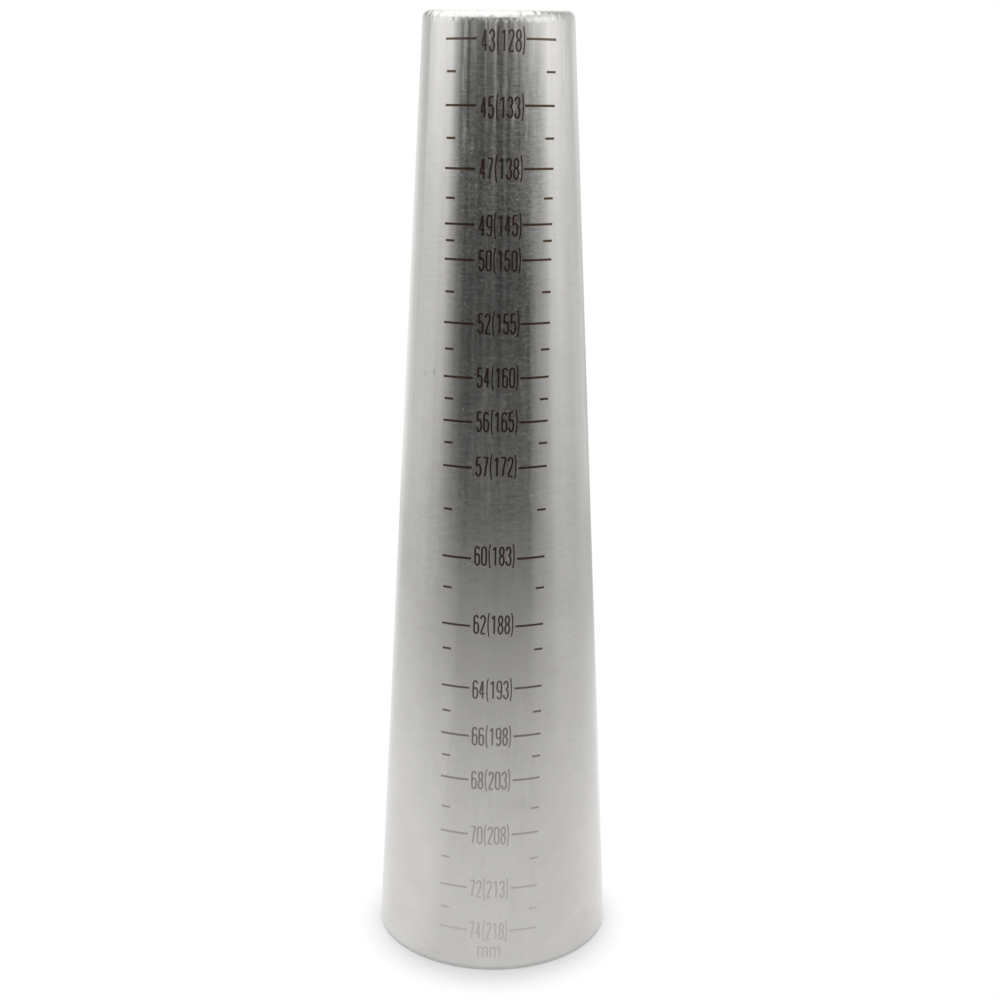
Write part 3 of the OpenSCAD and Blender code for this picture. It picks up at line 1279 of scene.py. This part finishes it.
@dataclass(frozen=True)
class Studio:
    """White floor, soft light, and a tent of light that only the steel's reflections see.

    Lengths are metres and angles degrees. Azimuths are seen from above, from the front (-Y) towards +X.

    Attributes:
        floor_half: Half the floor's width.
        tent_radius: Radius of the tent's wall.
        tent_height: Height of the wall.
        front: Brightness of the dark front.
        side: Brightness of the sides near the floor.
        side_lift: What the sides gain higher up.
        back: Brightness of the back.
        over: Brightness of the tent's upper part.
    """

    floor_half: float = 6.0
    tent_radius: float = 0.56
    tent_height: float = 1.3
    front: float = 0.060
    side: float = 0.62
    side_lift: float = 0.52
    back: float = 0.84
    over: float = 1.55

    STRIPS = (
        Strip(-46.0, 2.4, 0.6),
        Strip(-34.0, 2.2, 0.32),
        Strip(-17.0, 1.8, 0.75),
        Strip(-5.0, 2.2, 0.5),
        Strip(9.7, 2.4, 0.4),
        Strip(24.0, 3.0, 0.45),
        Strip(58.0, 22.0, 0.65),
    )
    TENT_PATCHES = (
        Patch(-150.0, 18.0, 0.05, 0.20, 0.30),
        Patch(-138.0, 18.0, 0.53, 0.12, -0.50),
        Patch(-116.0, 9.0, 0.38, 0.07, -0.22),
        Patch(-115.0, 14.0, 0.27, 0.05, -0.13),
        Patch(-98.0, 15.0, 0.07, 0.09, 0.16),
        Patch(-115.0, 36.0, 0.80, 0.20, 0.34),
        Patch(-45.0, 7.0, 0.10, 0.05, 0.20),
        Patch(-45.0, 8.0, 0.33, 0.06, 0.26),
        Patch(-15.0, 8.0, 0.24, 0.09, -0.26),
        Patch(8.0, 60.0, 0.232, 0.03, -0.40),
        Patch(22.0, 26.0, 0.35, 0.035, 0.26),
        Patch(40.0, 24.0, 0.46, 0.10, 0.36),
        Patch(44.0, 6.0, 0.15, 0.06, -0.28),
        Patch(77.0, 11.0, 0.52, 0.13, 0.20),
        Patch(86.0, 12.0, 0.19, 0.08, 0.26),
        Patch(105.0, 12.0, 0.47, 0.14, -0.42),
        Patch(131.0, 14.0, 0.55, 0.08, -0.35),
        Patch(141.0, 14.0, 0.27, 0.05, 0.20),
        Patch(159.0, 10.0, 0.06, 0.09, -0.30),
    )
    FLOOR_PATCHES = (
        Patch(-150.0, 14.0, 0.45, 0.20, 0.34),
        Patch(-62.0, 16.0, 0.08, 0.10, 0.06),
        Patch(-45.0, 8.0, 0.30, 0.08, 0.14),
        Patch(40.0, 14.0, 0.32, 0.08, 0.10),
        Patch(98.0, 28.0, 0.05, 0.07, 0.13),
        Patch(150.0, 14.0, 0.08, 0.11, 0.17),
        Patch(150.0, 14.0, 0.36, 0.12, -0.18),
    )
    WHITE = (1.0, 1.0, 1.0)
    NEAR_PAPER = (1.002, 0.998, 1.012)
    FAR_PAPER = (1.0, 1.0, 0.996)
    PAPER = (0.87, 0.87, 0.87, 1.0)
    MIRROR_SHARE = 0.92
    SHADOW_WIDTH = 0.045
    SHADOW_DEPTH = 0.046
    SHADOW_SHIFT = 0.003
    SHADOW_EDGE = (0.70, 1.02)
    # Light of the floor in reflections: near the object, what it loses far off, and what the dark front takes
    FLOOR_NEAR = 1.03
    FLOOR_LOSS = 0.41
    FLOOR_DARK = 0.14
    FLOOR_DARKER = 0.20
    FLOOR_FAR = (0.05, 0.53)
    LEFT_GLOW = 0.035
    LEFT_GLOW_PLACE = (95.0, 45.0)
    # Edges of the dark front in degrees, as spans of a step or as the heights and spans of several steps
    FLOOR_LEFT = ((0.45, 36.0, 54.0), (0.55, 55.0, 115.0))
    FLOOR_NEAR_RIGHT = (55.0, 150.0)
    LOW_LEFT = (35.0, 105.0)
    MID_LEFT = (40.5, 75.0)
    HIGH_LEFT = (47.0, 71.0)
    SHARP_RIGHT = ((0.40, 36.0, 48.0), (0.60, 47.5, 75.0))
    SOFT_RIGHT = ((0.09, 26.0, 38.0), (0.18, 36.0, 60.0), (0.73, 52.0, 74.0))
    BACK_EDGE = (100.0, 125.0)
    # Heights on the tent between which its light changes
    MID_FROM = (0.02, 0.08)
    HIGH_FROM = (0.16, 0.26)
    STRIPS_FROM = (0.295, 0.375)
    OVER_FROM = (0.52, 0.68)
    FRONT_STEPS = ((0.02, 0.255, 0.31), (0.16, 0.31, 0.37))
    OVER_SHADES = ((0.4, 65.0, 38.0), (0.6, 135.0, 28.0))
    TENT_COLUMNS = 96
    TENT_GAP = 0.002
    FOLD_DEGREES = 6.0
    FOLDS_UP = 1.5
    FOLD_JOIN = (178.0, 150.0)
    LAMP_SIZE = 1.0
    LAMP_POWER = 2.5
    LAMP_PLACE = (0.0, 0.0, 1.2)
    CAMERA_PLACE = (0.0, -0.46394, 0.290)
    CAMERA_YAW = 0.18
    CAMERA_PITCH = 17.34
    CAMERA_ROLL = 0.48
    LENS = 56.46
    SENSOR = 36.0
    CLIP_START = 0.01

    def build(self) -> None:
        """Sets up everything that isn't part of the object."""
        self.floor()
        self.tent()
        self.world()
        self.lamp()
        self.camera()

    def floor(self) -> None:
        """Lays the floor, which looks white wherever the object doesn't shade it."""
        half = self.floor_half / MM
        corners = np.array([[-half, -half, 0.0], [half, -half, 0.0], [half, half, 0.0], [-half, half, 0.0]])
        floor = mesh_piece("floor", corners, [[0, 1, 2, 3]])
        material, graph = new_material("white_floor")
        x, y, _ = graph.axes()
        across = x / self.SHADOW_WIDTH
        along = (y + self.SHADOW_SHIFT) / self.SHADOW_DEPTH
        unshaded = (across * across + along * along).root().rise(*self.SHADOW_EDGE)
        away = (x * x + y * y).root()
        azimuth = self.azimuth(x, y)
        far = away.rise(*self.FLOOR_FAR)
        left = -azimuth
        near_right = azimuth.rise(*self.FLOOR_NEAR_RIGHT)
        far_right = azimuth.climb(*self.SHARP_RIGHT)
        dark = 1.0 - left.climb(*self.FLOOR_LEFT) - near_right - far * (far_right - near_right)
        darkening = dark * (self.FLOOR_DARK + self.FLOOR_DARKER * far)
        mirrored = self.FLOOR_NEAR - self.FLOOR_LOSS * far - darkening
        mirrored = mirrored + self.LEFT_GLOW * left.hump(*self.LEFT_GLOW_PLACE)
        for patch in self.FLOOR_PATCHES:
            mirrored = mirrored * patch.factor(azimuth, away)
        tint = graph.mix(far, self.NEAR_PAPER, self.FAR_PAPER)
        camera = graph.ray("Camera")
        mirror = (graph.ray("Glossy") + graph.ray("Transmission")).at_most(1.0)
        paper = graph.node("BsdfDiffuse", None, {"Color": self.PAPER})
        light = graph.mix(camera, graph.scale(tint, mirrored), self.WHITE)
        glow = graph.node("Emission", None, {"Color": light, "Strength": 1.0})
        shares = {0: camera * unshaded + self.MIRROR_SHARE * mirror, 1: paper, 2: glow}
        graph.surface(graph.node("MixShader", None, shares))
        floor.data.materials.append(material)

    @staticmethod
    def azimuth(x: Value, y: Value) -> Value:
        """Returns the direction of a place in degrees, seen from above, from the front (-Y) towards +X."""
        return x.angle_from(-y) * math.degrees(1.0)

    def to_side(self, azimuth: Value, z: Value) -> Value:
        """Share of the bright sides in the light, against the dark front.

        Each edge of the dark front is a sum of smooth steps, and it changes from the floor upwards.

        Args:
            azimuth: Direction, in degrees.
            z: Height above the floor.

        Returns:
            The share, from 0 in the dark front to 1 at the sides.
        """
        left = -azimuth
        upper = z.rise(*self.HIGH_FROM)
        low, mid, high = (left.rise(*span) for span in (self.LOW_LEFT, self.MID_LEFT, self.HIGH_LEFT))
        on_left = low + z.rise(*self.MID_FROM) * (mid - low) + upper * (high - mid)
        sharp = azimuth.climb(*self.SHARP_RIGHT)
        soft = azimuth.climb(*self.SOFT_RIGHT)
        return on_left + sharp + upper * (soft - sharp)

    def tent(self) -> None:
        """Stands the tent's wall round the object: (R cos a, R sin a, h) over angle a and height h."""
        angle = np.linspace(0.0, 2 * math.pi, self.TENT_COLUMNS, endpoint=False)[:, None]
        height = np.array([[self.TENT_GAP, self.tent_height]])
        wall = [self.tent_radius * np.cos(angle), self.tent_radius * np.sin(angle), height]
        points = np.stack(np.broadcast_arrays(*wall), axis=-1).reshape(-1, 3) / MM
        tent = mesh_piece("light_tent", points, grid_quads(self.TENT_COLUMNS, 2, True, False).tolist())
        material, graph = new_material("tent_light")
        material.cycles.emission_sampling = "NONE"
        x, y, z = graph.axes()
        azimuth = self.azimuth(x, y)
        spread = graph.node("CombineXYZ", None, {"X": azimuth / self.FOLD_DEGREES, "Y": z * self.FOLDS_UP})
        pattern = {"Vector": spread, "Scale": 1.0, "Detail": 4.0, "Roughness": 0.65}
        folds = graph.node("TexNoise", None, pattern)
        folds = 0.5 + (folds - 0.5) * abs(azimuth).rise(*self.FOLD_JOIN)
        to_back = abs(azimuth).rise(*self.BACK_EDGE)
        sides = self.side + 0.14 * z.rise(0.0, 0.08) + self.side_lift * z.rise(0.14, 0.38)
        sides = (sides + to_back * (self.back - sides)) * (0.75 + 0.5 * folds)
        front = self.front + 0.021 * z.hump(0.04, 0.03) + z.climb(*self.FRONT_STEPS)
        front = front * 2.4 * folds.rise(0.15, 0.85) + 0.28 * azimuth.hump(60.0, 22.0) * z.rise(0.255, 0.315)
        for strip in self.STRIPS:
            bright = strip.light * z.rise(*self.STRIPS_FROM)
            front = front + bright * azimuth.hump(strip.azimuth, strip.half_width)
        light = front + self.to_side(azimuth, z) * (sides - front)
        shade = sum(depth * azimuth.hump(middle, half) for depth, middle, half in self.OVER_SHADES)
        light = light + z.rise(*self.OVER_FROM) * (self.over * (1.0 - shade) - light)
        for patch in self.TENT_PATCHES:
            light = light * patch.factor(azimuth, z)
        graph.surface(graph.node("Emission", None, {"Color": light, "Strength": 1.0}))
        tent.data.materials.append(material)
        tent.visible_camera = False
        tent.visible_diffuse = False
        tent.visible_transmission = False
        tent.visible_shadow = False

    def world(self) -> None:
        """Surrounds the scene with plain white."""
        world = bpy.data.worlds.new("studio")
        world.use_nodes = True
        bpy.context.scene.world = world
        graph = Graph(world.node_tree)
        sky = graph.node("Background", None, {"Color": (1.0, 1.0, 1.0, 1.0), "Strength": 1.0})
        graph.node("OutputWorld", None, {"Surface": sky}, out=None)

    def lamp(self) -> None:
        """Hangs one soft lamp over the object."""
        light = bpy.data.lights.new("soft_box", "AREA")
        light.shape = "SQUARE"
        light.size = self.LAMP_SIZE
        light.energy = self.LAMP_POWER
        add_object("soft_box", light).location = self.LAMP_PLACE

    def camera(self) -> None:
        """Puts the camera level with the top, in front, looking down: columns right, up and back."""
        yaw, pitch, roll = (math.radians(a) for a in (self.CAMERA_YAW, self.CAMERA_PITCH, self.CAMERA_ROLL))
        ahead = np.array([math.sin(yaw) * math.cos(pitch), math.cos(yaw) * math.cos(pitch), -math.sin(pitch)])
        level_right = np.array([math.cos(yaw), -math.sin(yaw), 0.0])
        level_up = np.cross(level_right, ahead)
        right = math.cos(roll) * level_right + math.sin(roll) * level_up
        up = math.cos(roll) * level_up - math.sin(roll) * level_right
        turned = np.eye(4)
        turned[:3, :] = np.stack([right, up, -ahead, np.array(self.CAMERA_PLACE)], axis=1)
        data = bpy.data.cameras.new("camera")
        data.lens = self.LENS
        data.sensor_width = self.SENSOR
        data.clip_start = self.CLIP_START
        camera = add_object("camera", data)
        camera.matrix_world = Matrix(turned.tolist())
        bpy.context.scene.camera = camera


def main() -> None:
    """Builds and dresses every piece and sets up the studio."""
    logging.basicConfig(level=logging.INFO, format="%(message)s")
    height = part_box("top_cap")[1].z / MM
    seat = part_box("mandrel_shell")[1].z / MM
    taper = OvalTaper(height=height, seat=seat)
    gap = SeamGap()
    steel = (RolledShell(taper, gap), SeamWeld(taper, gap), TopPlate(taper), GroundRim(taper))
    for part in (*steel, SizeScale(taper)):
        part.dress(part.build())
    Studio().build()
    bpy.context.scene.view_settings.view_transform = "Standard"


if __name__ == "__main__":
    main()
